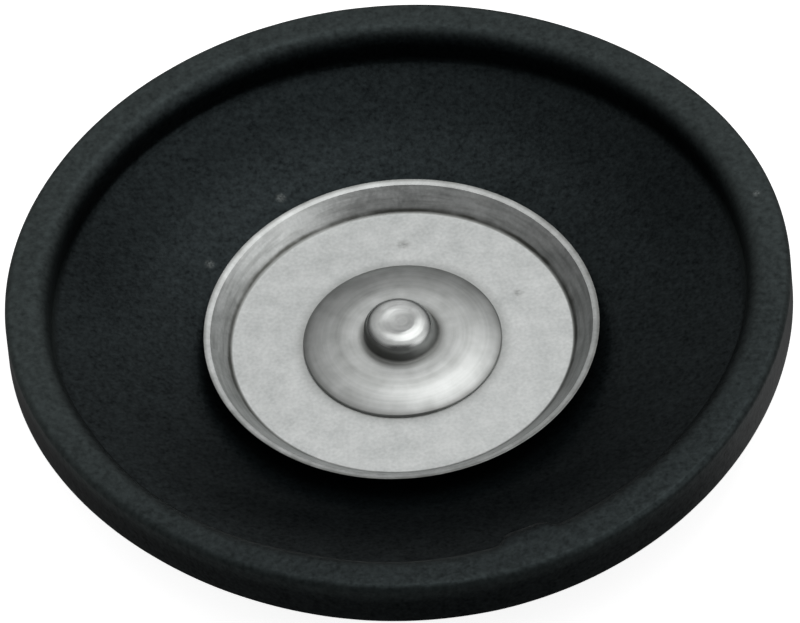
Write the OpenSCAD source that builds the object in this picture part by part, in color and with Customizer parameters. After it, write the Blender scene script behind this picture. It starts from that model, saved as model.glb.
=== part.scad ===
// Pump diaphragm: a dished rubber disc with a bead round its edge, clamped between a spring cup
// and a backing plate by one turned rivet. Sizes are in millimetres, and Z is the axis of the disc.
// Every piece is a section in the plane of radius and height, turned once round that axis.

/* [Diaphragm] */
// Diameter over the bead
diaphragm_d = 28; // [24:0.5:34]
// Width of the bead
bead_w = 1.6; // [1.3:0.05:2.2]
// Height of the bead from its seat to its crown
bead_h = 1.8; // [1.6:0.05:2.4]
// Radius of the crown's inner edge
crown_inner_r = 0.65; // [0.3:0.05:0.8]
// Radius of the crown's outer edge
crown_outer_r = 0.25; // [0.1:0.05:0.4]
// Radius where the bead's inner wall runs into the web
bead_root_r = 0.3; // [0.1:0.05:0.5]
// Radius of the bead's lower outer edge
bead_edge_r = 0.12; // [0.05:0.01:0.2]
// Thickness of the rubber web
web_t = 0.45; // [0.3:0.05:0.6]
// How far the clamped middle lies below the bead's seat
dish_drop = 1.75; // [1.2:0.05:2.5]
// Inner radius where the web bends up from its flat middle
web_bend_r = 0.5; // [0.2:0.1:1]
// Width of bare flat rubber outside the clamped pieces
flat_margin = 0.1; // [0.05:0.05:0.5]

/* [Spring cup] */
// Diameter of the floor inside the cup
cup_floor_d = 12.26; // [9:0.02:14]
// Depth from the lip's inner edge to the floor
cup_depth = 0.72; // [0.5:0.01:1.2]
// How far the wall leans out from upright, in degrees
cup_lean = 44; // [15:1:50]
// Thickness of the cup's sheet
cup_sheet_t = 0.2; // [0.15:0.05:0.5]
// Inner radius of the bend between floor and wall
cup_bend_r = 0.15; // [0.05:0.05:0.3]
// How much higher the lip's outer edge is than its inner one
cup_lip_rise = 0.06; // [0:0.01:0.08]
// Radius of the lip's two edges
cup_rim_r = 0.02; // [0.01:0.01:0.06]

/* [Backing plate] */
// Diameter of the plate
plate_d = 12.5; // [9:0.1:14]
// Thickness of the plate
plate_t = 0.5; // [0.3:0.05:1]
// Radius of the plate's edges
plate_edge_r = 0.15; // [0.02:0.01:0.2]

/* [Centre rivet] */
// Diameter of the shank
shank_d = 2.6; // [2:0.1:3.4]
// Gap between the shank and the three holes it goes through, at the radius
shank_clearance = 0.05; // [0.02:0.01:0.1]
// Diameter of the domed flange
flange_d = 7.1; // [6:0.02:9]
// Height of the domed flange
flange_h = 0.41; // [0.38:0.01:0.6]
// Height of the upright edge at the flange's foot
flange_step = 0.08; // [0.02:0.01:0.1]
// Width of the flange's rolled edge
flange_edge_w = 0.6; // [0.4:0.05:0.8]
// How far the dome falls from its top to the rolled edge
dome_drop = 0.13; // [0.08:0.01:0.15]
// Width of the level ring between the dome and the pip's foot
dome_land = 0.55; // [0.2:0.05:0.8]
// Diameter of the pip at its foot
pip_d = 2.6; // [2.4:0.02:3.2]
// How much narrower the pip is at its top, at the diameter
pip_taper = 0.16; // [0:0.02:0.3]
// Height of the pip above the dome
pip_h = 0.77; // [0.65:0.01:1.2]
// Radius of the pip's upper edge
pip_edge_r = 0.34; // [0.1:0.02:0.5]
// Radius at the pip's foot
pip_root_r = 0.12; // [0.04:0.01:0.2]
// Diameter of the shallow dish in the top of the pip
pip_dish_d = 1.2; // [0.8:0.1:1.6]
// Depth of that dish
pip_dish_depth = 0.03; // [0.02:0.01:0.1]
// Diameter of the formed lower head
head_d = 5; // [4.4:0.1:7]
// Height of the lower head
head_h = 0.7; // [0.4:0.05:1.2]
// Radius of the lower head's bottom edge
head_edge_r = 0.25; // [0.1:0.05:0.3]

/* [Hidden] */
$fn = 180;
// Number of chords in each rounded corner
arc_steps = 8;
// Largest share of a wall that a radius may take up
radius_share = 0.45;

// The clamped stack, from the lower head's face up
plate_z = head_h;
rubber_z = plate_z + plate_t;
cup_z = rubber_z + web_t;
floor_z = cup_z + cup_sheet_t;
dome_z = floor_z + flange_h;
pip_z = dome_z + pip_h;

// The holes that the shank goes through
hole_r = shank_d / 2 + shank_clearance;

// The cup's wall: its lean, its foot on the underside and its rim
cup_floor_r = cup_floor_d / 2;
cup_foot_r = cup_floor_r + cup_sheet_t * cos(cup_lean) / (1 + sin(cup_lean));
cup_rim_inner = [cup_floor_r + cup_depth * tan(cup_lean), floor_z + cup_depth];
cup_rim_outer = cup_rim_inner + [cup_sheet_t / cos(cup_lean), cup_lip_rise];
cup_rim_edge_r = min(cup_rim_r, radius_share * cup_sheet_t);

// The rubber's flat middle and the cone that rises from it to the bead
diaphragm_r = diaphragm_d / 2;
bead_inner_r = diaphragm_r - bead_w;
flat_r = max(cup_foot_r, plate_d / 2) + flat_margin;
seat_z = rubber_z + dish_drop;
dish_angle = atan2(dish_drop, bead_inner_r - flat_r);
flat_top_r = flat_r - web_t * tan(dish_angle / 2);
web_top_z = seat_z + web_t / cos(dish_angle);
crown_z = seat_z + bead_h;
root_room = (crown_z - web_top_z - crown_inner_r) * tan((90 + dish_angle) / 2);
root_r = min(bead_root_r, 2 * radius_share * root_room);

// The dome's arc falls from the level ring to the rolled edge, which goes on from it without a break
dome_top_r = pip_d / 2 + dome_land;
dome_end_r = flange_d / 2 - flange_edge_w;
dome_reach = dome_end_r - dome_top_r;
dome_r = (dome_reach ^ 2 + dome_drop ^ 2) / (2 * dome_drop);
dome_sweep = asin(dome_reach / dome_r);
edge_drop = flange_h - dome_drop - flange_step;
edge_end = 2 * atan2(edge_drop, flange_edge_w) - dome_sweep;
edge_r = flange_edge_w / (sin(edge_end) - sin(dome_sweep));

// The pip's wall leans in, and its two radii leave part of the ring and of the pip's top level
pip_top_r = (pip_d - pip_taper) / 2;
pip_half_angle = (90 + atan2(pip_taper / 2, pip_h)) / 2;
pip_foot_round = min(pip_root_r, 2 * radius_share * dome_land * tan(pip_half_angle));
pip_top_round = min(pip_edge_r, 2 * radius_share * (pip_top_r - pip_dish_d / 2) * tan(pip_half_angle));

// The dish's arc runs from its edge to the axis, level where it ends
dish_r = (pip_dish_d ^ 2 / 4 + pip_dish_depth ^ 2) / (2 * pip_dish_depth);
dish_sweep = asin(pip_dish_d / 2 / dish_r);

function unit(v) = v / norm(v);
function spot(corner) = [corner.x, corner.y];
function turned(v, angle) = [v.x * cos(angle) - v.y * sin(angle), v.x * sin(angle) + v.y * cos(angle)];

// The points of one corner: the corner itself, or an arc that is tangent to both of its sides
function corner_points(before, corner, after) =
    corner.z == 0
        ? [spot(corner)]
        : let (
              back = unit(spot(before) - spot(corner)),
              ahead = unit(spot(after) - spot(corner)),
              half = acos(back * ahead) / 2,
              centre = spot(corner) + unit(back + ahead) * corner.z / sin(half),
              start = spot(corner) + back * corner.z / tan(half) - centre,
              sweep = -sign(cross(back, ahead)) * (180 - 2 * half)
          )
          [for (i = [0 : arc_steps]) centre + turned(start, sweep * i / arc_steps)];

// Turns a section round the axis. Each corner is [radius, height, rounding].
module revolved(corners) {
    count = len(corners);
    points = [
        for (i = [0 : count - 1])
            each corner_points(corners[(i + count - 1) % count], corners[i], corners[(i + 1) % count])
    ];
    rotate_extrude()
        polygon(points);
}

// Moulded rubber: a flat middle with a hole, a dished web of even thickness and a bead round its edge
module diaphragm() {
    color("#222625")
        revolved([
            [hole_r, rubber_z, 0],
            [flat_r, rubber_z, web_bend_r + web_t],
            [bead_inner_r, seat_z, web_bend_r],
            [diaphragm_r, seat_z, bead_edge_r],
            [diaphragm_r, crown_z, crown_outer_r],
            [bead_inner_r, crown_z, crown_inner_r],
            [bead_inner_r, web_top_z, root_r],
            [flat_top_r, cup_z, web_bend_r],
            [hole_r, cup_z, 0]
        ]);
}

// Stamped sheet: a flat floor for the end of a spring, and a low wall that leans out to a narrow lip
module spring_cup() {
    color("#b4b6b4")
        revolved([
            [hole_r, cup_z, 0],
            [cup_foot_r, cup_z, cup_bend_r + cup_sheet_t],
            [cup_rim_outer.x, cup_rim_outer.y, cup_rim_edge_r],
            [cup_rim_inner.x, cup_rim_inner.y, cup_rim_edge_r],
            [cup_floor_r, floor_z, cup_bend_r],
            [hole_r, floor_z, 0]
        ]);
}

// Stamped plate under the rubber, with its edges rounded so that they don't cut it
module backing_plate() {
    edge_r = min(plate_edge_r, radius_share * plate_t);
    color("#a9aba9")
        revolved([
            [hole_r, plate_z, 0],
            [plate_d / 2, plate_z, edge_r],
            [plate_d / 2, rubber_z, edge_r],
            [hole_r, rubber_z, 0]
        ]);
}

// Turned rivet: a formed flat head, the shank, a domed flange on the cup's floor and a dished pip
module centre_rivet() {
    dome_centre = [dome_top_r, dome_z - dome_r];
    edge_centre = [dome_end_r, dome_z - dome_drop] - edge_r * [sin(dome_sweep), cos(dome_sweep)];
    dish_centre = [0, pip_z - pip_dish_depth + dish_r];
    color("#c3c5c3")
        revolved([
            [0, 0, 0],
            [head_d / 2, 0, head_edge_r],
            [head_d / 2, plate_z, 0],
            [shank_d / 2, plate_z, 0],
            [shank_d / 2, floor_z, 0],
            [flange_d / 2, floor_z, 0],
            for (i = [arc_steps : -1 : 1])
                let (angle = dome_sweep + (edge_end - dome_sweep) * i / arc_steps)
                [edge_centre.x + edge_r * sin(angle), edge_centre.y + edge_r * cos(angle), 0],
            for (i = [arc_steps : -1 : 0])
                let (angle = dome_sweep * i / arc_steps)
                [dome_centre.x + dome_r * sin(angle), dome_centre.y + dome_r * cos(angle), 0],
            [pip_d / 2, dome_z, pip_foot_round],
            [pip_top_r, pip_z, pip_top_round],
            for (i = [arc_steps : -1 : 0])
                let (angle = dish_sweep * i / arc_steps)
                [dish_centre.x + dish_r * sin(angle), dish_centre.y - dish_r * cos(angle), 0]
        ]);
}

diaphragm();
spring_cup();
backing_plate();
centre_rivet();
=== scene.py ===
import math
from types import SimpleNamespace

import bmesh
import bpy
from mathutils import Matrix, Vector


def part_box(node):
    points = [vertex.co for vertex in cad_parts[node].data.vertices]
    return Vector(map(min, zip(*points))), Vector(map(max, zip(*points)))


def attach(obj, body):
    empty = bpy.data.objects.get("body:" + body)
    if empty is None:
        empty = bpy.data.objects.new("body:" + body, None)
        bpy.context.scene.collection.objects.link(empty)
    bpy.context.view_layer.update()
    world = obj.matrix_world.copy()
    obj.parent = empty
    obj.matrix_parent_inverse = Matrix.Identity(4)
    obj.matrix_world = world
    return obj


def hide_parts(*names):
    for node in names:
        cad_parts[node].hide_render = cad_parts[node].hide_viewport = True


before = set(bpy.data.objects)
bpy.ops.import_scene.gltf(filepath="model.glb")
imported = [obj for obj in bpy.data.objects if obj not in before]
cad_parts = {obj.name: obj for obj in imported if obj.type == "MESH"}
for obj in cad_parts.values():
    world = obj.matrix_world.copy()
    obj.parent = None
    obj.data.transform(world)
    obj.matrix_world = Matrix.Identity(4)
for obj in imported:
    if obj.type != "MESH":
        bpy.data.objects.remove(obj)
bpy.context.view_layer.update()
print("frame loaded:", sorted(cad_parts))

mm = 0.001
rubberLow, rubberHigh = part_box("diaphragm")
cupLow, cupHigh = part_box("spring_cup")
plateLow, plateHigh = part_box("backing_plate")
rivetLow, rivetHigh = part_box("centre_rivet")


# sRGB hex to the linear colour that a shader socket takes
def hexColour(text):
    parts = [int(text[i:i + 2], 16) / 255 for i in (1, 3, 5)]
    linear = [c / 12.92 if c <= 0.04045 else ((c + 0.055) / 1.055) ** 2.4 for c in parts]
    return (*linear, 1.0)


# gives a node its inputs: each is a value, or a socket to link from
def setInputs(tree, node, inputs):
    for key, value in inputs.items():
        if isinstance(value, bpy.types.NodeSocket):
            tree.links.new(value, node.inputs[key])
        else:
            node.inputs[key].default_value = value


# one node with its inputs and settings
def addNode(tree, kind, inputs=None, **settings):
    node = tree.nodes.new(kind)
    for name, value in settings.items():
        setattr(node, name, value)
    setInputs(tree, node, inputs or {})
    return node


# a chain of sums or products, worked from left to right
def combine(tree, operation, *values):
    result = values[0]
    for value in values[1:]:
        result = addNode(tree, "ShaderNodeMath", {0: result, 1: value}, operation=operation).outputs[0]
    return result


# the sum of some values, each times its weight
def weighted(tree, *pairs):
    return combine(tree, "ADD", *[combine(tree, "MULTIPLY", value, weight) for value, weight in pairs])


# what a share leaves of the whole
def remainder(tree, share):
    return combine(tree, "SUBTRACT", 1.0, share)


# how far a measure in metres is past a place, in millimetres
def millimetres(tree, measure, place):
    return combine(tree, "DIVIDE", combine(tree, "SUBTRACT", measure, place), mm)


# rises smoothly from 0 to 1 between two values of a measure, or falls where start is the larger
def ramp(tree, measure, start, end):
    low, high = (0.0, 1.0)
    if not isinstance(start, bpy.types.NodeSocket) and start > end:
        start, end, low, high = end, start, 1.0, 0.0
    return addNode(tree, "ShaderNodeMapRange", {
        "Value": measure, "From Min": start, "From Max": end, "To Min": low, "To Max": high,
    }, interpolation_type="SMOOTHSTEP").outputs[0]


# the product of several ramps: each is a measure with its start and end
def within(tree, *limits):
    return combine(tree, "MULTIPLY", *[ramp(tree, measure, *ends) for measure, ends in limits])


# a place's radius and angle round the axis, its x, y and height, and the same place at height 0
def roundTheAxis(tree, place):
    part = addNode(tree, "ShaderNodeSeparateXYZ", {0: place}).outputs
    level = addNode(tree, "ShaderNodeCombineXYZ", {"X": part["X"], "Y": part["Y"]}).outputs[0]
    radius = addNode(tree, "ShaderNodeVectorMath", {0: level}, operation="LENGTH").outputs["Value"]
    angle = combine(tree, "ARCTAN2", part["Y"], part["X"])
    return SimpleNamespace(
        radius=radius, angle=angle, x=part["X"], y=part["Y"], height=part["Z"], level=level)


# camera: a long lens at the photograph's angle, turned so that the disc's right side sits higher
view = {
    "elevation": 48.8,           # degrees above the horizon
    "roll": 5.5,                 # degrees that the disc's right side is raised
    "distance": 0.70,            # metres
    "pixelsPerMm": 28.16,        # on the axis
    "axisPixel": (398.0, 293.1),  # where a point on the axis shows
    "axisHeight": 4.5 * mm,      # and how high that point is
    "frame": (800, 623),
    "sensor": 36.0,              # mm
    "clip": (0.01, 10.0),        # metres
}


def makeCamera():
    data = bpy.data.cameras.new("camera")
    data.sensor_width = view["sensor"]
    data.lens = view["pixelsPerMm"] * view["distance"] / mm / view["frame"][0] * view["sensor"]
    data.clip_start, data.clip_end = view["clip"]
    camera = bpy.data.objects.new("camera", data)
    bpy.context.scene.collection.objects.link(camera)
    rise = math.radians(view["elevation"])
    back = Vector((0, -math.cos(rise), math.sin(rise)))
    turn = Matrix.Rotation(-math.radians(view["roll"]), 4, back)
    right = turn @ Vector((1, 0, 0))
    up = turn @ Vector((0, math.sin(rise), math.cos(rise)))
    perPixel = mm / view["pixelsPerMm"]
    aside = (view["frame"][0] / 2 - view["axisPixel"][0]) * perPixel
    above = (view["axisPixel"][1] - view["frame"][1] / 2) * perPixel
    place = Vector((0, 0, view["axisHeight"])) + back * view["distance"] + right * aside + up * above
    axes = Matrix((right, up, back)).transposed().to_4x4()
    camera.matrix_world = Matrix.Translation(place) @ axes
    bpy.context.scene.camera = camera


makeCamera()
print("camera placed")

meshSteps = {"Round steps": 10, "Steps around": 360, "Longest step": 0.25 * mm}
mergeDistances = (0.0008 * mm, 0.0004 * mm)  # in the node tree, and in the plain mesh after it


# Geometry nodes: a section of named corners, rounded and turned round the axis.
# A corner input holds radius, height and rounding in metres.
# A stage, with inputs of its own, may shape the turned piece further.
def sectionTree(name, cornerNames, closed, stage, stageInputs):
    tree = bpy.data.node_groups.new(name, "GeometryNodeTree")
    face = tree.interface
    face.new_socket(name="Geometry", in_out="OUTPUT", socket_type="NodeSocketGeometry")
    for corner in cornerNames:
        face.new_socket(name=corner, in_out="INPUT", socket_type="NodeSocketVector")
    for count in ("Round steps", "Steps around"):
        face.new_socket(name=count, in_out="INPUT", socket_type="NodeSocketInt")
    for size in ("Longest step", *stageInputs):
        face.new_socket(name=size, in_out="INPUT", socket_type="NodeSocketFloat")
    face.new_socket(name="Finish", in_out="INPUT", socket_type="NodeSocketMaterial")
    given = addNode(tree, "NodeGroupInput").outputs

    # the corners as one poly line
    index = addNode(tree, "GeometryNodeInputIndex").outputs[0]
    pick = addNode(tree, "GeometryNodeIndexSwitch", data_type="VECTOR")
    while len(pick.index_switch_items) < len(cornerNames):
        pick.index_switch_items.new()
    tree.links.new(index, pick.inputs["Index"])
    for number, corner in enumerate(cornerNames):
        tree.links.new(given[corner], pick.inputs[str(number)])
    size = addNode(tree, "ShaderNodeSeparateXYZ", {0: pick.outputs[0]}).outputs
    spot = addNode(tree, "ShaderNodeCombineXYZ", {"X": size["X"], "Z": size["Y"]}).outputs[0]
    points = addNode(tree, "GeometryNodePoints", {"Count": len(cornerNames), "Position": spot}).outputs[0]
    line = addNode(tree, "GeometryNodePointsToCurves", {"Points": points}).outputs[0]
    line = addNode(tree, "GeometryNodeCurveSplineType", {"Curve": line}, spline_type="POLY").outputs[0]
    line = addNode(tree, "GeometryNodeSetSplineCyclic", {"Geometry": line, "Cyclic": closed}).outputs[0]
    line = addNode(tree, "GeometryNodeFilletCurve", {
        "Curve": line, "Count": given["Round steps"], "Radius": size["Z"], "Limit Radius": True,
    }, mode="POLY").outputs[0]

    # long straight stretches are cut so that no step is longer than asked
    here = addNode(tree, "GeometryNodeInputPosition").outputs[0]
    following = addNode(tree, "GeometryNodeOffsetPointInCurve", {"Point Index": index, "Offset": 1})
    ahead = addNode(tree, "GeometryNodeFieldAtIndex", {
        "Value": here, "Index": following.outputs["Point Index"],
    }, data_type="FLOAT_VECTOR").outputs[0]
    length = addNode(tree, "ShaderNodeVectorMath", {0: here, 1: ahead}, operation="DISTANCE")
    steps = combine(tree, "DIVIDE", length.outputs["Value"], given["Longest step"])
    cuts = addNode(tree, "ShaderNodeMath", {0: steps}, operation="FLOOR").outputs[0]
    line = addNode(tree, "GeometryNodeSubdivideCurve", {"Curve": line, "Cuts": cuts}).outputs[0]

    # a grid with one column for each step around and one row for each point of the line
    domain = addNode(tree, "GeometryNodeAttributeDomainSize", {0: line}, component="CURVE")
    count = domain.outputs["Point Count"]
    rows = combine(tree, "ADD", count, 1 if closed else 0)
    columns = combine(tree, "ADD", given["Steps around"], 1)
    grid = addNode(tree, "GeometryNodeMeshGrid", {"Vertices X": columns, "Vertices Y": rows}).outputs["Mesh"]
    column = combine(tree, "DIVIDE", index, rows)
    column = addNode(tree, "ShaderNodeMath", {0: column}, operation="FLOOR").outputs[0]
    row = combine(tree, "FLOORED_MODULO", index, rows, count)
    source = addNode(tree, "GeometryNodeSampleIndex", {
        "Geometry": line, "Value": here, "Index": row,
    }, data_type="FLOAT_VECTOR").outputs[0]
    share = combine(tree, "DIVIDE", column, given["Steps around"])
    turned = addNode(tree, "ShaderNodeVectorRotate", {
        "Vector": source, "Angle": combine(tree, "MULTIPLY", share, 2 * math.pi),
    }, rotation_type="Z_AXIS").outputs[0]
    shape = addNode(tree, "GeometryNodeSetPosition", {"Geometry": grid, "Position": turned}).outputs[0]
    shape = addNode(tree, "GeometryNodeMergeByDistance", {
        "Geometry": shape, "Distance": mergeDistances[0],
    }).outputs[0]
    if stage:
        shape = stage(tree, given, shape)
    shape = addNode(tree, "GeometryNodeSetShadeSmooth", {"Geometry": shape}).outputs[0]
    shape = addNode(tree, "GeometryNodeRealizeInstances", {"Geometry": shape}).outputs[0]
    shape = addNode(tree, "GeometryNodeSetMaterial", {
        "Geometry": shape, "Material": given["Finish"],
    }).outputs[0]
    addNode(tree, "NodeGroupOutput", {"Geometry": shape})
    return tree


# runs a section tree on an empty object and keeps its result as a plain mesh
def turnedPiece(name, corners, closed, finish, stage, stageInputs):
    tree = sectionTree(name + "Section", list(corners), closed, stage, stageInputs)
    holder = bpy.data.objects.new(name + "Holder", bpy.data.meshes.new(name + "Holder"))
    bpy.context.scene.collection.objects.link(holder)
    modifier = holder.modifiers.new("section", "NODES")
    modifier.node_group = tree
    values = {**corners, **meshSteps, **stageInputs, "Finish": finish}
    for item in tree.interface.items_tree:
        if item.in_out == "INPUT":
            modifier[item.identifier] = values[item.name]
    depsgraph = bpy.context.evaluated_depsgraph_get()
    mesh = bpy.data.meshes.new_from_object(holder.evaluated_get(depsgraph))
    bpy.data.objects.remove(holder)
    work = bmesh.new()
    work.from_mesh(mesh)
    bmesh.ops.remove_doubles(work, verts=work.verts, dist=mergeDistances[1])
    bmesh.ops.recalc_face_normals(work, faces=work.faces)
    openEdges = sum(1 for edge in work.edges if len(edge.link_faces) != 2)
    work.to_mesh(mesh)
    work.free()
    mesh.name = name
    piece = bpy.data.objects.new(name, mesh)
    bpy.context.scene.collection.objects.link(piece)
    triangles = sum(len(face.vertices) - 2 for face in mesh.polygons)
    print(name, "triangles", triangles, "open edges", openEdges)
    return piece


# a new material with its tree, its shader and the place on the piece
def newFinish(name):
    finish = bpy.data.materials.new(name)
    finish.use_nodes = True
    tree = finish.node_tree
    place = addNode(tree, "ShaderNodeTexCoord").outputs["Object"]
    return finish, tree, tree.nodes["Principled BSDF"], place


# cloudy variation: size is the width of a cloud in metres, and the result runs from low to high
def mottle(tree, place, size, low, high, detail=3.0):
    cloud = addNode(tree, "ShaderNodeTexNoise", {
        "Vector": place, "Scale": 1 / size, "Detail": detail,
    }).outputs["Fac"]
    return addNode(tree, "ShaderNodeMapRange", {
        "Value": cloud, "From Min": 0.3, "From Max": 0.7, "To Min": low, "To Max": high,
    }).outputs[0]


def blend(tree, share, first, second):
    return addNode(tree, "ShaderNodeMix", {0: share, 6: first, 7: second}, data_type="RGBA").outputs[2]


def bumps(tree, height, strength, depth):
    return addNode(tree, "ShaderNodeBump", {
        "Height": height, "Strength": strength, "Distance": depth,
    }).outputs[0]


# small marks at known places on faces that look up: each is x, y and its width in millimetres
def marks(tree, level, spots, soft):
    facing = addNode(tree, "ShaderNodeTexCoord").outputs["Normal"]
    facing = addNode(tree, "ShaderNodeSeparateXYZ", {0: facing}).outputs["Z"]
    found = []
    for x, y, width in spots:
        gap = addNode(tree, "ShaderNodeVectorMath", {
            0: level, 1: (x * mm, y * mm, 0),
        }, operation="DISTANCE").outputs["Value"]
        found.append(ramp(tree, gap, width / 2 * mm * (1 + soft), width / 2 * mm * (1 - soft)))
    return combine(tree, "MULTIPLY", combine(tree, "MAXIMUM", *found), ramp(tree, facing, 0.0, 0.3))


# spring cup: stamped sheet with a flat floor and a wall that leans out to a narrow lip
cup = {
    "sheet": 0.2 * mm,
    "floorRadius": 6.13 * mm,
    "depth": 0.72 * mm,
    "lean": math.radians(44),
    "bend": 0.15 * mm,
    "lipRise": 0.06 * mm,
    "lipRound": 0.02 * mm,
    "hole": 1.35 * mm,
    "plating": ("#b2b5b4", "#d5d7d6"),   # dull and bright patches of the plating
    "grimeAndShade": "#5f605c",                  # painted shade along the foot of the wall, in its crease, at the lip's edge and round the flange; also the specks' colour
    "grainSize": 0.13 * mm,              # tumbled grit marks, finer in truth
    "grainDepth": 0.004 * mm,
    "patchSize": 0.9 * mm,
    "drawSize": 0.14 * mm,               # spacing of the drawing marks round the wall, finer in truth
    "drawLength": 1.68 * mm,
    "dirtSize": 0.5 * mm,
    "dullSize": 0.6 * mm,                # dull patches of the lip
    "specks": ((0.35, 4.6, 0.34), (4.25, 1.8, 0.3)),
    "speckGrain": 0.12 * mm,
    # where each finish starts and where it is full, in mm out from the floor's edge
    "wallZone": (-0.03, 0.08),
    "lipZone": (0.58, 0.68),
    "footZone": (0.5, 0.0),
    "creaseZones": ((-0.08, -0.02), (0.16, 0.05)),
    "rimZone": (-0.16, -0.02),           # in mm out from the lip's outer edge
    "ringZone": (0.5, -0.1),             # in mm out from the rivet's flange
    "farShadeZone": (-0.95, -0.3),           # where the wall's painted shade grows: shares of the floor's radius, to the back
}


def cupCorners():
    sheet = cup["sheet"]
    floor = cupLow.z + sheet
    lean = cup["lean"]
    foot = cup["floorRadius"] + sheet * math.cos(lean) / (1 + math.sin(lean))
    rim = cup["floorRadius"] + cup["depth"] * math.tan(lean)
    lip = floor + cup["depth"]
    return {
        "Hole underside": (cup["hole"], cupLow.z, 0),
        "Foot": (foot, cupLow.z, cup["bend"] + sheet),
        "Lip outside": (rim + sheet / math.cos(lean), lip + cup["lipRise"], cup["lipRound"]),
        "Lip inside": (rim, lip, cup["lipRound"]),
        "Floor edge": (cup["floorRadius"], floor, cup["bend"]),
        "Hole top": (cup["hole"], floor, 0),
    }


# zinc plated sheet steel, drawn and then tumbled: a dull silver with a fine grit all over,
# cloudy patches where the plating is thicker, and drawing marks round the wall
def platedSheet():
    finish, tree, shader, place = newFinish("zinc plated sheet steel")
    spot = roundTheAxis(tree, place)
    fromEdge = millimetres(tree, spot.radius, cup["floorRadius"])
    fromRim = millimetres(tree, spot.radius, cupHigh.x)
    fromFlange = millimetres(tree, spot.radius, rivetHigh.x)
    grain = mottle(tree, place, cup["grainSize"], 0.0, 1.0, 2.0)
    patch = mottle(tree, place, cup["patchSize"], 0.0, 1.0, 4.0)
    tone = weighted(tree, (grain, 0.45), (patch, 0.55))
    colour = blend(tree, tone, hexColour(cup["plating"][0]), hexColour(cup["plating"][1]))

    # drawing marks, on the wall alone
    wall = ramp(tree, fromEdge, *cup["wallZone"])
    lip = ramp(tree, fromEdge, *cup["lipZone"])
    wallOnly = combine(tree, "MULTIPLY", wall, remainder(tree, lip))
    unrolled = addNode(tree, "ShaderNodeCombineXYZ", {
        "X": combine(tree, "MULTIPLY", spot.angle, cup["floorRadius"] / cup["drawLength"]),
        "Y": combine(tree, "DIVIDE", spot.radius, cup["drawSize"]),
    }).outputs[0]
    drawn = addNode(tree, "ShaderNodeTexNoise", {"Vector": unrolled, "Scale": 1.0, "Detail": 2.0})
    drawn = drawn.outputs["Fac"]
    streak = combine(tree, "MULTIPLY", wallOnly, ramp(tree, drawn, 0.4, 0.68))

    # painted shade on the wall and in its crease, none on the near side, towards the lip's outer edge and in
    # a ring round the flange; dull patches on the lip, and specks
    farShade = ramp(tree, combine(tree, "DIVIDE", spot.y, cup["floorRadius"]), *cup["farShadeZone"])
    foot = within(tree, (fromEdge, cup["wallZone"]), (fromEdge, cup["footZone"]))
    foot = combine(tree, "MULTIPLY", foot, mottle(tree, place, cup["dirtSize"], 0.1, 0.75))
    onWall = combine(tree, "MULTIPLY", weighted(tree, (foot, 0.55), (streak, 0.3)), farShade)
    crease = within(tree, *[(fromEdge, zone) for zone in cup["creaseZones"]])
    crease = combine(tree, "MULTIPLY", crease, combine(tree, "ADD", weighted(tree, (farShade, 0.4)), 0.25))
    rim = ramp(tree, fromRim, *cup["rimZone"])
    lipShadeAndDull = weighted(tree, (rim, 0.5), (mottle(tree, place, cup["dullSize"], 0.0, 1.0), 0.3))
    speck = marks(tree, spot.level, cup["specks"], 0.9)
    speckTone = mottle(tree, place, cup["speckGrain"], 0.1, 0.6)
    ring = ramp(tree, fromFlange, *cup["ringZone"])
    shadeAndDirt = weighted(tree, (onWall, 1.0), (crease, 1.0), (lip, lipShadeAndDull), (speck, speckTone), (ring, 0.4))
    shadeAndDirt = combine(tree, "MINIMUM", shadeAndDirt, 1.0)

    rough = mottle(tree, place, cup["patchSize"], 0.36, 0.44)
    relief = weighted(tree, (grain, 1.0), (wallOnly, drawn))
    setInputs(tree, shader, {
        "Base Color": blend(tree, shadeAndDirt, colour, hexColour(cup["grimeAndShade"])),
        "Roughness": weighted(tree, (rough, 1.0), (grain, 0.06)),
        "Normal": bumps(tree, relief, 0.35, cup["grainDepth"]),
        "Metallic": 1.0,
    })
    return finish


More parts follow.
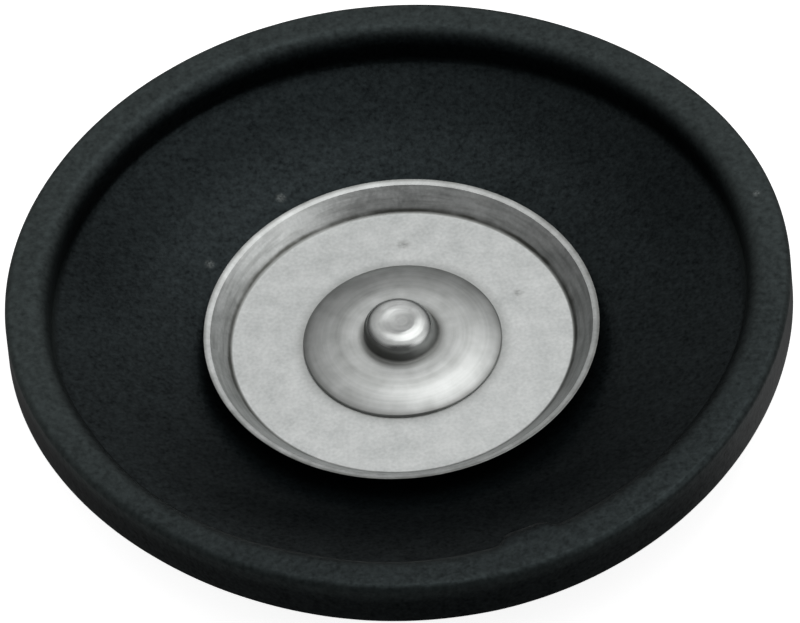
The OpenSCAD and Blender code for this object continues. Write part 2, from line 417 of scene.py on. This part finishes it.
# diaphragm: moulded rubber with a raised bead, a dished web and a flat clamped middle
rubber = {
    "beadWidth": 1.6 * mm,
    "beadHeight": 1.8 * mm,
    "crownInner": 0.65 * mm,
    "crownOuter": 0.25 * mm,
    "root": 0.3 * mm,
    "edge": 0.12 * mm,
    "bend": 0.5 * mm,
    "margin": 0.1 * mm,
    # lift of each lobe, and where it peaks in degrees; where they would lift the crown, a share of the
    # lift pushes it back out of round instead
    "lobes": ((0.274 * mm, -102.5), (0.221 * mm, 12.5), (0.147 * mm, -17.3)),
    "heldSoft": 0.1 * mm,
    "pushedBack": 0.875,
    "unevenDepth": 0.05 * mm,
    "unevenSize": 3.0 * mm,
    # the inner edge's swells: angle, half the arc at full reach and at none, in degrees, and reach inward
    "swells": ((-72.5, 3.0, 5.4, 0.42 * mm), (-57, 6, 48, 0.2 * mm), (-132, 4, 26, -0.18 * mm)),
    "crownSpan": (0.3, 0.65),             # shares of the bead's width over which the swells end
    "black": ("#040607", "#090d0e"),      # the compound, with carbon black
    "sheen": "#e2faff",                   # the cool cast of its weak sheen
    "crownHighlight": "#3a403f",                   # painted highlight on the crown's top, a lighter grey
    "rootLight": "#2b302f",                # painted light on the bead's root
    "dust": "#8f9492",
    "grainSize": 0.13 * mm,               # the mould's spark eroded grain, finer in truth
    "grainDepth": 0.006 * mm,
    "blotchSize": 0.24 * mm,              # bloom on the surface
    "cloudSize": 1.3 * mm,
    "lint": ((-3.85, 7.15, 0.26), (-6.6, 4.35, 0.24), (13.05, 2.85, 0.2)),
    "lintGrain": 0.08 * mm,
    # where each finish starts and where it is full, in mm out from the bead's inner wall
    "beadZone": (-0.1, 0.5),
    "edgeZone": (1.0, 1.4),
    "rootZones": ((-0.2, 0.02), (0.6, 0.1)),
    "topZone": (-0.9, -0.2),              # in mm above the crown, as is the next
    "lowZone": (0.0, -1.0),
    "farZone": (-0.85, 0.1),              # in shares of the disc's radius to the back, as is the next
    "litRootZone": (0.42, -0.1),
    "farTurn": 0.25,                      # how much the far zone is turned to the left
    # parts of the web where the weak sheen is cut as painted shade: mm out from the bead's inner wall, and
    # shares to the back
    "besideCup": ((-1.4, -4.8), (-0.1, -0.5)),
    "inFront": ((-0.4, -3.4), (-0.3, -0.6)),
    "behind": ((-4.1, -1.4), (-0.1, 0.35)),
}


def rubberCorners():
    web = cupLow.z - rubberLow.z
    outer = rubberHigh.x
    crown = rubberHigh.z
    inner = outer - rubber["beadWidth"]
    seat = crown - rubber["beadHeight"]
    flat = max(cupCorners()["Foot"][0], plateHigh.x) + rubber["margin"]
    slope = math.atan2(seat - rubberLow.z, inner - flat)
    return {
        "Hole underside": (cup["hole"], rubberLow.z, 0),
        "Flat edge underside": (flat, rubberLow.z, rubber["bend"] + web),
        "Seat inside": (inner, seat, rubber["bend"]),
        "Seat outside": (outer, seat, rubber["edge"]),
        "Crown outside": (outer, crown, rubber["crownOuter"]),
        "Crown inside": (inner, crown, rubber["crownInner"]),
        "Bead root": (inner, seat + web / math.cos(slope), rubber["root"]),
        "Flat edge top": (flat - web * math.tan(slope / 2), cupLow.z, rubber["bend"]),
        "Hole top": (cup["hole"], cupLow.z, 0),
    }


# the inputs of the stage that lets the rubber rest unevenly
def rubberLie():
    corners = rubberCorners()
    inner, root = corners["Bead root"][:2]
    inputs = {"Clamped radius": corners["Flat edge underside"][0], "Free radius": inner}
    for number, (lift, peak) in enumerate(rubber["lobes"], 1):
        inputs[f"Lobe {number} lift"] = lift
        inputs[f"Lobe {number} peak"] = math.radians(peak)
    inputs["Held soft"] = rubber["heldSoft"]
    inputs["Pushed back"] = rubber["pushedBack"]
    inputs["Uneven scale"] = 1 / rubber["unevenSize"]
    inputs["Uneven depth"] = rubber["unevenDepth"]
    for number, (angle, core, end, reach) in enumerate(rubber["swells"], 1):
        inputs[f"Swell {number} angle"] = math.radians(angle)
        inputs[f"Swell {number} core"] = math.radians(core)
        inputs[f"Swell {number} end"] = math.radians(end)
        inputs[f"Swell {number} reach"] = reach
    inputs["Swell foot"] = corners["Seat inside"][1]
    inputs["Swell top"] = root
    inputs["Crown middle"] = inner + rubber["crownSpan"][0] * rubber["beadWidth"]
    inputs["Crown edge"] = inner + rubber["crownSpan"][1] * rubber["beadWidth"]
    return inputs


# soft rubber never lies quite true: slow lobes lower the bead or push it back, the mould leaves it uneven,
# and the bead's inner edge swells in and out, most where a lump of flash was left on it
def restingRubber(tree, given, shape):
    here = addNode(tree, "GeometryNodeInputPosition").outputs[0]
    spot = roundTheAxis(tree, here)
    free = ramp(tree, spot.radius, given["Clamped radius"], given["Free radius"])
    waves = []
    for lobe in range(1, len(rubber["lobes"]) + 1):
        turn = combine(tree, "SUBTRACT", spot.angle, given[f"Lobe {lobe} peak"])
        turn = combine(tree, "MULTIPLY", turn, lobe)
        wave = addNode(tree, "ShaderNodeMath", {0: turn}, operation="COSINE").outputs[0]
        waves.append(combine(tree, "MULTIPLY", wave, given[f"Lobe {lobe} lift"]))
    noise = addNode(tree, "ShaderNodeTexNoise", {
        "Vector": here, "Scale": given["Uneven scale"], "Detail": 2.0,
    }).outputs["Fac"]
    uneven = combine(tree, "MULTIPLY", combine(tree, "SUBTRACT", noise, 0.5), given["Uneven depth"])
    raised = combine(tree, "ADD", *waves, uneven)
    held = addNode(tree, "ShaderNodeMath", {
        0: raised, 1: 0.0, 2: given["Held soft"],
    }, operation="SMOOTH_MIN").outputs[0]
    lift = combine(tree, "MULTIPLY", held, free)
    pushed = combine(tree, "MULTIPLY", combine(tree, "SUBTRACT", raised, held), given["Pushed back"], free)

    # swells reach from the web's last millimetres to the crown's middle, above the seat
    reaches = []
    for swell in range(1, len(rubber["swells"]) + 1):
        aside = combine(tree, "SUBTRACT", spot.angle, given[f"Swell {swell} angle"])
        aside = addNode(tree, "ShaderNodeMath", {0: aside}, operation="ABSOLUTE").outputs[0]
        beside = ramp(tree, aside, given[f"Swell {swell} core"], given[f"Swell {swell} end"])
        reaches.append(combine(tree, "MULTIPLY", remainder(tree, beside), given[f"Swell {swell} reach"]))
    near = combine(tree, "POWER", free, 4.0)
    inside = remainder(tree, ramp(tree, spot.radius, given["Crown middle"], given["Crown edge"]))
    aboveSeat = ramp(tree, spot.height, given["Swell foot"], given["Swell top"])
    reach = combine(tree, "MULTIPLY", combine(tree, "ADD", *reaches), near, inside, aboveSeat)
    outward = addNode(tree, "ShaderNodeVectorMath", {0: spot.level}, operation="NORMALIZE").outputs[0]
    inward = addNode(tree, "ShaderNodeVectorMath", {
        0: outward, "Scale": combine(tree, "MULTIPLY", reach, -1.0),
    }, operation="SCALE").outputs[0]
    offset = addNode(tree, "ShaderNodeCombineXYZ", {"Y": pushed, "Z": lift}).outputs[0]
    offset = addNode(tree, "ShaderNodeVectorMath", {0: offset, 1: inward}, operation="ADD").outputs[0]
    return addNode(tree, "GeometryNodeSetPosition", {"Geometry": shape, "Offset": offset}).outputs[0]


# nitrile rubber, compression moulded and then handled: a deep greenish black with the mould's fine
# grain, a weak sheen of bloom that is cut in front of the cup as a painted shadow and at the back of the web
# as painted shade, a painted highlight on the crown's top, painted light on the bead's root, and a few specks
# of lint
def mouldedRubber():
    finish, tree, shader, place = newFinish("moulded nitrile rubber")
    spot = roundTheAxis(tree, place)
    corners = rubberCorners()
    outer, crown = corners["Crown outside"][:2]
    fromBead = millimetres(tree, spot.radius, corners["Bead root"][0])
    fromCrown = millimetres(tree, spot.height, crown)
    toBack = combine(tree, "DIVIDE", spot.y, outer)
    aside = combine(tree, "MULTIPLY", spot.x, rubber["farTurn"] / outer)
    toBackLeft = combine(tree, "SUBTRACT", toBack, aside)
    grain = mottle(tree, place, rubber["grainSize"], 0.0, 1.0, 2.0)
    blotch = mottle(tree, place, rubber["blotchSize"], 0.0, 1.0)
    cloud = mottle(tree, place, rubber["cloudSize"], 0.0, 1.0)
    tone = weighted(tree, (grain, 0.45), (cloud, 0.15), (blotch, 0.4))
    colour = blend(tree, tone, hexColour(rubber["black"][0]), hexColour(rubber["black"][1]))

    # painted highlight on the crown's top, most at the back; painted light along the root at the sides and in
    # front
    bead = ramp(tree, fromBead, *rubber["beadZone"])
    edge = ramp(tree, fromBead, *rubber["edgeZone"])
    far = ramp(tree, toBackLeft, *rubber["farZone"])
    crownLight = combine(tree, "ADD", 0.24, weighted(tree, (edge, 0.08), (far, 0.58)))
    top = ramp(tree, fromCrown, *rubber["topZone"])
    topShare = combine(tree, "MULTIPLY", bead, top, crownLight, mottle(tree, place, rubber["blotchSize"], 0.6, 1.0))
    colour = blend(tree, topShare, colour, hexColour(rubber["crownHighlight"]))
    litRoot = within(tree, (fromCrown, rubber["lowZone"]), (toBack, rubber["litRootZone"]),
                   *[(fromBead, zone) for zone in rubber["rootZones"]])
    colour = blend(tree, combine(tree, "MULTIPLY", litRoot, 0.9), colour, hexColour(rubber["rootLight"]))
    lint = marks(tree, spot.level, rubber["lint"], 1.0)
    lint = combine(tree, "MULTIPLY", lint, mottle(tree, place, rubber["lintGrain"], 0.0, 0.7))

    # the bloom gives what gloss there is, cut back as the cup's painted shadow in front of it and as painted
    # shade behind it
    shadedWeb = {name: within(tree, (fromBead, rubber[name][0]), (toBack, rubber[name][1]))
            for name in ("besideCup", "inFront", "behind")}
    cupShadow = combine(tree, "MAXIMUM", shadedWeb["besideCup"], shadedWeb["inFront"])
    backShade = combine(tree, "MULTIPLY", shadedWeb["behind"], remainder(tree, bead))
    webShade = weighted(tree, (cupShadow, 0.75), (backShade, 0.4))
    gloss = combine(tree, "ADD", 0.05, combine(tree, "MULTIPLY", tone, 0.28))
    rough = mottle(tree, place, rubber["cloudSize"], 0.29, 0.35)
    setInputs(tree, shader, {
        "Base Color": blend(tree, lint, colour, hexColour(rubber["dust"])),
        "Roughness": weighted(tree, (rough, 1.0), (grain, 0.06)),
        "Normal": bumps(tree, grain, 0.5, rubber["grainDepth"]),
        "Specular IOR Level": combine(tree, "MULTIPLY", gloss, remainder(tree, webShade)),
        "Specular Tint": hexColour(rubber["sheen"]),
        "IOR": 1.5,
    })
    return finish


# backing plate: stamped, with its edges rounded
plate = {"edge": 0.15 * mm}


def plateCorners():
    return {
        "Hole underside": (cup["hole"], plateLow.z, 0),
        "Edge underside": (plateHigh.x, plateLow.z, plate["edge"]),
        "Edge top": (plateHigh.x, plateHigh.z, plate["edge"]),
        "Hole top": (cup["hole"], plateHigh.z, 0),
    }


# centre rivet: turned, with a flat head, a shank, a domed flange with a rolled edge, and a dished pip
rivet = {
    "headRadius": 2.5 * mm,
    "headEdge": 0.25 * mm,
    "shankRadius": 1.3 * mm,
    "flangeHeight": 0.41 * mm,
    "flangeStep": 0.08 * mm,
    "edgeWidth": 0.6 * mm,
    "domeDrop": 0.13 * mm,
    "land": 0.55 * mm,
    "pipFoot": 1.3 * mm,
    "pipTop": 1.22 * mm,
    "pipEdge": 0.34 * mm,
    "pipRoot": 0.12 * mm,
    "dishRadius": 0.6 * mm,
    "dishDepth": 0.03 * mm,
    "arcPoints": 12,
    "flatMiddle": (-0.15 * mm, 0.22 * mm),  # the pip's end is worn to the near right of this flat
    "flatRadius": 0.88 * mm,
    "wornSoft": 0.14 * mm,
    "wornSlope": 0.23,
    "pipLean": -0.08 * mm,               # how far the pip's end lies to the left
    "steel": ("#989a98", "#cacccb"),     # in and between the tool marks
    "turnSize": 0.13 * mm,               # spacing of the tool marks, finer in truth
    "turnDepth": 0.007 * mm,
    "turnRate": 0.35,                    # how much the marks change round a ring
    "darkRing": (2.34 * mm, 0.26 * mm),  # radius and half the width of a darker ring, painted shade of a shallow dip in the dome
    "grimeAndShade": "#4a4a45",                  # painted shade round the pip's foot and along the flange's edge
    "patchSize": 0.6 * mm,
    # where each finish starts and where it is full, in mm out from the pip's foot
    "footZones": ((-0.14, 0.0), (0.4, 0.02)),
    "hemZone": (-0.25, -0.02),           # in mm out from the flange's edge
    "rubbedZone": (-0.3, -0.1),          # in mm above the pip's end
}


# points on an arc that ends level: out is its radius, up its height, measured from the level end
def levelArc(out, up):
    bend = (out * out + up * up) / (2 * up)
    sweep = math.asin(out / bend)
    angles = [sweep * i / rivet["arcPoints"] for i in range(rivet["arcPoints"], -1, -1)]
    return [(bend * math.sin(a), bend * (1 - math.cos(a))) for a in angles]


# points on the flange's rolled edge, which goes on from the dome's arc without a break
def rolledEdge(reach, drop):
    width = rivet["edgeWidth"]
    fall = rivet["flangeHeight"] - drop - rivet["flangeStep"]
    start = 2 * math.atan2(drop, reach)
    end = 2 * math.atan2(fall, width) - start
    bend = width / (math.sin(end) - math.sin(start))
    points = []
    for i in range(rivet["arcPoints"], 0, -1):
        a = start + (end - start) * i / rivet["arcPoints"]
        out = reach + bend * (math.sin(a) - math.sin(start))
        points.append((out, drop + bend * (math.cos(start) - math.cos(a))))
    return points


# height of the dome's top, where the pip's foot is
def domeHeight():
    return cupLow.z + cup["sheet"] + rivet["flangeHeight"]


def rivetCorners():
    flange = rivetHigh.x
    floor = cupLow.z + cup["sheet"]
    dome = domeHeight()
    top = rivetHigh.z
    corners = {
        "Axis low": (0, rivetLow.z, 0),
        "Head edge": (rivet["headRadius"], rivetLow.z, rivet["headEdge"]),
        "Head top": (rivet["headRadius"], plateLow.z, 0),
        "Shank low": (rivet["shankRadius"], plateLow.z, 0),
        "Shank high": (rivet["shankRadius"], floor, 0),
        "Flange foot": (flange, floor, 0),
    }
    ring = rivet["pipFoot"] + rivet["land"]
    reach = flange - rivet["edgeWidth"] - ring
    for number, (out, fall) in enumerate(rolledEdge(reach, rivet["domeDrop"])):
        corners[f"Edge {number}"] = (ring + out, dome - fall, 0)
    for number, (out, fall) in enumerate(levelArc(reach, rivet["domeDrop"])):
        corners[f"Dome {number}"] = (ring + out, dome - fall, 0)
    corners["Pip foot"] = (rivet["pipFoot"], dome, rivet["pipRoot"])
    corners["Pip edge"] = (rivet["pipTop"], top, rivet["pipEdge"])
    for number, (out, rise) in enumerate(levelArc(rivet["dishRadius"], rivet["dishDepth"])):
        corners[f"Dish {number}"] = (out, top - rivet["dishDepth"] + rise, 0)
    return corners


# the inputs of the stage that wears the pip
def pipWear():
    return {
        "Flat middle X": rivet["flatMiddle"][0],
        "Flat middle Y": rivet["flatMiddle"][1],
        "Flat radius": rivet["flatRadius"],
        "Pip lean": rivet["pipLean"],
        "Worn soft": rivet["wornSoft"],
        "Worn slope": rivet["wornSlope"],
        "Pip foot height": domeHeight(),
        "Pip edge height": rivetHigh.z - rivet["pipEdge"],
    }


# the pip leans a little and its end is worn on one side: what is left of its flat top lies beside the axis,
# and the end falls away outside it; both fade out towards the pip's foot
def wornPip(tree, given, shape):
    spot = roundTheAxis(tree, addNode(tree, "GeometryNodeInputPosition").outputs[0])
    middle = addNode(tree, "ShaderNodeCombineXYZ", {"X": given["Flat middle X"], "Y": given["Flat middle Y"]})
    gap = addNode(tree, "ShaderNodeVectorMath", {0: spot.level, 1: middle.outputs[0]}, operation="DISTANCE")
    past = combine(tree, "SUBTRACT", gap.outputs["Value"], given["Flat radius"])
    past = addNode(tree, "ShaderNodeMath", {
        0: past, 1: 0.0, 2: given["Worn soft"],
    }, operation="SMOOTH_MAX").outputs[0]
    share = ramp(tree, spot.height, given["Pip foot height"], given["Pip edge height"])
    offset = addNode(tree, "ShaderNodeCombineXYZ", {
        "X": combine(tree, "MULTIPLY", share, given["Pip lean"]),
        "Z": combine(tree, "MULTIPLY", past, given["Worn slope"], share, -1.0),
    }).outputs[0]
    return addNode(tree, "GeometryNodeSetPosition", {"Geometry": shape, "Offset": offset}).outputs[0]


# zinc plated free-cutting steel, turned on a lathe: a satin silver with fine rings of tool marks
def turnedSteel():
    finish, tree, shader, place = newFinish("turned zinc plated steel")
    spot = roundTheAxis(tree, place)
    fromPip = millimetres(tree, spot.radius, rivet["pipFoot"])
    fromFlange = millimetres(tree, spot.radius, rivetHigh.x)
    fromEnd = millimetres(tree, spot.height, rivetHigh.z)
    ringed = addNode(tree, "ShaderNodeCombineXYZ", {
        "X": combine(tree, "DIVIDE", spot.radius, rivet["turnSize"]),
        "Y": combine(tree, "MULTIPLY", spot.angle, rivet["turnRate"]),
    }).outputs[0]
    rings = addNode(tree, "ShaderNodeTexNoise", {"Vector": ringed, "Scale": 1.0, "Detail": 3.0})
    rings = rings.outputs["Fac"]
    patch = mottle(tree, place, rivet["patchSize"], 0.0, 1.0, 4.0)
    # painted shade: a darker ring round the dome at one radius
    middle, half = rivet["darkRing"]
    aside = combine(tree, "SUBTRACT", spot.radius, middle)
    aside = addNode(tree, "ShaderNodeMath", {0: aside}, operation="ABSOLUTE").outputs[0]
    ringShade = ramp(tree, aside, half, 0.0)
    tone = weighted(tree, (rings, 0.6), (patch, 0.4), (ringShade, -0.2))
    colour = blend(tree, tone, hexColour(rivet["steel"][0]), hexColour(rivet["steel"][1]))

    # painted shade round the pip's foot and along the flange's edge; the pip's end is rubbed smoother
    above = ramp(tree, spot.height, plateHigh.z, cupHigh.z)
    foot = combine(tree, "MULTIPLY", within(tree, *[(fromPip, zone) for zone in rivet["footZones"]]), above)
    hem = ramp(tree, fromFlange, *rivet["hemZone"])
    topShare = ramp(tree, fromEnd, *rivet["rubbedZone"])
    grimeAndShade = hexColour(rivet["grimeAndShade"])
    colour = blend(tree, combine(tree, "MULTIPLY", foot, 0.75), colour, grimeAndShade)
    rough = mottle(tree, place, rivet["patchSize"], 0.27, 0.33)
    setInputs(tree, shader, {
        "Base Color": blend(tree, combine(tree, "MULTIPLY", hem, 0.4), colour, grimeAndShade),
        "Roughness": weighted(tree, (rough, 1.0), (rings, 0.06), (foot, 0.25), (topShare, -0.1)),
        "Normal": bumps(tree, rings, 0.5, rivet["turnDepth"]),
        "Metallic": 1.0,
    })
    return finish


rubberFinish = mouldedRubber()
sheetFinish = platedSheet()
steelFinish = turnedSteel()

pieces = {
    "rubber_diaphragm": ("diaphragm", "rubber", rubberCorners(), True, rubberFinish),
    "stamped_spring_cup": ("spring_cup", "plated_sheet", cupCorners(), True, sheetFinish),
    "stamped_backing_plate": ("backing_plate", "plated_sheet", plateCorners(), True, sheetFinish),
    "turned_centre_rivet": ("centre_rivet", "turned_steel", rivetCorners(), False, steelFinish),
}
stages = {
    "rubber_diaphragm": (restingRubber, rubberLie()),
    "turned_centre_rivet": (wornPip, pipWear()),
}
for name, (node, slot, corners, closed, finish) in pieces.items():
    piece = turnedPiece(name, corners, closed, finish, *stages.get(name, (None, {})))
    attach(piece, "root")
    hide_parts(node)
print("pieces made")


# studio: a pale floor, a white background, a lamp overhead, and a graded light tent that only gloss sees
studio = {
    "floorSize": 3.0,            # metres, as are the lamp's and the tent's sizes
    "floorColour": "#f4f4f4",
    "floorGlow": 0.82,           # share of the floor's white that shadows don't reach
    "fill": 0.45,                # world strength for diffuse light
    "lampSize": 0.22,
    "lampDistance": 0.34,
    "lampAngle": 55,             # degrees round the axis, 0 at +X, 90 away from the camera
    "lampRise": 67,
    "lampRadiance": 2.0,
    "tentRadius": 0.25,
    "tentSteps": (48, 16),       # around and upward
    "tentFoot": 1,               # degrees above the floor
    "groundHeight": 0.1 * mm,    # of the middle of the tent's ground
    # the tent's brightness at some rises in degrees
    "tentGrades": ((0, 0.1), (10, 0.15), (16, 0.23), (25, 0.36), (34, 0.51), (49, 0.78), (58, 0.96)),
    "tentLean": 0.62,            # how much brighter it is to the right, and darker to the left
    "tentLeast": 0.13,
    # glows on the tent, one about the lamp and a panel's to the right: angle, rise, brightness added,
    # and the degrees from its place where it is full and where it ends
    "glows": ((62, 67, 1.3, 8, 21), (-20, 28, 0.7, 8, 36)),
    "screen": 0.10,              # the dark screen in front
    "screenRise": 32,
    "screenSpread": (20, 44),    # degrees from its middle where it starts to fade and where it ends
}


# 1 for rays from the camera, from gloss and through glass, which see the background, and 0 for the rest
def seenDirectly(tree):
    path = addNode(tree, "ShaderNodeLightPath").outputs
    return combine(tree, "MAXIMUM", path["Is Camera Ray"], path["Is Glossy Ray"], path["Is Transmission Ray"])


def whiteWorld():
    world = bpy.data.worlds.new("white studio")
    world.use_nodes = True
    tree = world.node_tree
    tree.nodes.clear()
    strength = addNode(tree, "ShaderNodeMapRange", {
        "Value": seenDirectly(tree), "To Min": studio["fill"], "To Max": 1.0,
    }).outputs[0]
    back = addNode(tree, "ShaderNodeBackground", {"Color": (1, 1, 1, 1), "Strength": strength}).outputs[0]
    addNode(tree, "ShaderNodeOutputWorld", {"Surface": back})
    bpy.context.scene.world = world


# a material for the stage, with an empty tree
def stageFinish(name):
    finish = bpy.data.materials.new(name)
    finish.use_nodes = True
    finish.node_tree.nodes.clear()
    return finish, finish.node_tree


def stagePiece(name, points, faces, finish):
    mesh = bpy.data.meshes.new(name)
    mesh.from_pydata(points, [], faces)
    mesh.materials.append(finish)
    piece = bpy.data.objects.new(name, mesh)
    bpy.context.scene.collection.objects.link(piece)
    return piece


# the floor shows nearly white and keeps a light shadow
def paleFloor():
    finish, tree = stageFinish("pale floor")
    lit = addNode(tree, "ShaderNodeBsdfDiffuse", {"Color": hexColour(studio["floorColour"])}).outputs[0]
    glow = addNode(tree, "ShaderNodeEmission", {
        "Color": (1, 1, 1, 1), "Strength": studio["floorGlow"],
    }).outputs[0]
    both = addNode(tree, "ShaderNodeAddShader", {0: lit, 1: glow}).outputs[0]
    mixed = addNode(tree, "ShaderNodeMixShader", {0: seenDirectly(tree), 1: lit, 2: both}).outputs[0]
    addNode(tree, "ShaderNodeOutputMaterial", {"Surface": mixed})
    half = studio["floorSize"] / 2
    corners = [(-half, -half, 0), (half, -half, 0), (half, half, 0), (-half, half, 0)]
    stagePiece("floor", corners, [(0, 1, 2, 3)], finish)


# the place at a distance from the origin, at an angle round the axis and a rise above the floor
def towards(angle, rise, distance):
    turn = math.radians(angle)
    lift = math.radians(rise)
    flat = math.cos(lift)
    return Vector((flat * math.cos(turn), flat * math.sin(turn), math.sin(lift))) * distance


def overheadLamp():
    data = bpy.data.lights.new("overhead lamp", "AREA")
    data.shape = "DISK"
    data.size = studio["lampSize"]
    data.energy = studio["lampRadiance"] * math.pi * math.pi * (studio["lampSize"] / 2) ** 2
    lamp = bpy.data.objects.new("overhead lamp", data)
    bpy.context.scene.collection.objects.link(lamp)
    place = towards(studio["lampAngle"], studio["lampRise"], studio["lampDistance"])
    lamp.location = place
    lamp.rotation_mode = "QUATERNION"
    lamp.rotation_quaternion = place.to_track_quat("Z", "Y")
    lamp.visible_glossy = False  # gloss sees a glow on the tent instead


# degrees between a direction on the tent and a given one
def degreesFrom(tree, place, direction):
    close = addNode(tree, "ShaderNodeVectorMath", {0: place, 1: direction}, operation="DOT_PRODUCT")
    angle = addNode(tree, "ShaderNodeMath", {0: close.outputs["Value"]}, operation="ARCCOSINE").outputs[0]
    return combine(tree, "MULTIPLY", angle, 180 / math.pi)


# the tent's light brightens with height and to the right, glows in two places and is dark in front
def tentLight():
    finish, tree = stageFinish("light tent")
    place = addNode(tree, "ShaderNodeTexCoord").outputs["Object"]
    place = addNode(tree, "ShaderNodeVectorMath", {0: place}, operation="NORMALIZE").outputs[0]
    part = addNode(tree, "ShaderNodeSeparateXYZ", {0: place}).outputs
    rise = addNode(tree, "ShaderNodeMath", {0: part["Z"]}, operation="ARCSINE").outputs[0]
    grades = studio["tentGrades"]
    brightest = grades[-1][1]
    ramps = addNode(tree, "ShaderNodeValToRGB", {0: combine(tree, "MULTIPLY", rise, 2 / math.pi)})
    while len(ramps.color_ramp.elements) < len(grades):
        ramps.color_ramp.elements.new(1.0)
    for stop, (degrees, bright) in zip(ramps.color_ramp.elements, grades):
        stop.position = degrees / 90
        stop.color = (bright / brightest, bright / brightest, bright / brightest, 1)
    lean = combine(tree, "ADD", combine(tree, "MULTIPLY", part["X"], studio["tentLean"]), 1.0)
    level = combine(tree, "MULTIPLY", ramps.outputs[0], brightest, lean)
    level = combine(tree, "MAXIMUM", level, studio["tentLeast"])
    for angle, lift, bright, full, end in studio["glows"]:
        away = degreesFrom(tree, place, towards(angle, lift, 1))
        level = combine(tree, "ADD", level, combine(tree, "MULTIPLY", ramp(tree, away, end, full), bright))
    fromFront = degreesFrom(tree, place, towards(-90, studio["screenRise"], 1))
    opened = ramp(tree, fromFront, *studio["screenSpread"])
    level = combine(tree, "MULTIPLY", combine(tree, "SUBTRACT", level, studio["screen"]), opened)
    level = combine(tree, "ADD", level, studio["screen"])
    light = addNode(tree, "ShaderNodeEmission", {"Color": (1, 1, 1, 1), "Strength": level}).outputs[0]
    addNode(tree, "ShaderNodeOutputMaterial", {"Surface": light})
    return finish


# the tent: rings of points from just above the floor to the top, and a shallow ground that the bead's
# wall reflects
def lightTent():
    around, upward = studio["tentSteps"]
    foot = studio["tentFoot"]
    points = [towards(360 * i / around, foot + (90 - foot) * j / upward, studio["tentRadius"])
              for j in range(upward) for i in range(around)]
    points.append(towards(0, 90, studio["tentRadius"]))
    faces = []
    for j in range(upward - 1):
        for i in range(around):
            first = j * around + i
            beside = j * around + (i + 1) % around
            faces.append((first, beside, beside + around, first + around))
    last = (upward - 1) * around
    faces += [(last + i, last + (i + 1) % around, len(points) - 1) for i in range(around)]
    points.append(Vector((0, 0, studio["groundHeight"])))
    faces += [(i, (i + 1) % around, len(points) - 1) for i in range(around)]
    tent = stagePiece("light_tent", points, faces, tentLight())
    tent.visible_camera = False
    tent.visible_diffuse = False
    tent.visible_transmission = False
    tent.visible_shadow = False


whiteWorld()
paleFloor()
overheadLamp()
lightTent()
bpy.context.scene.view_settings.view_transform = "Standard"
print("studio lit")
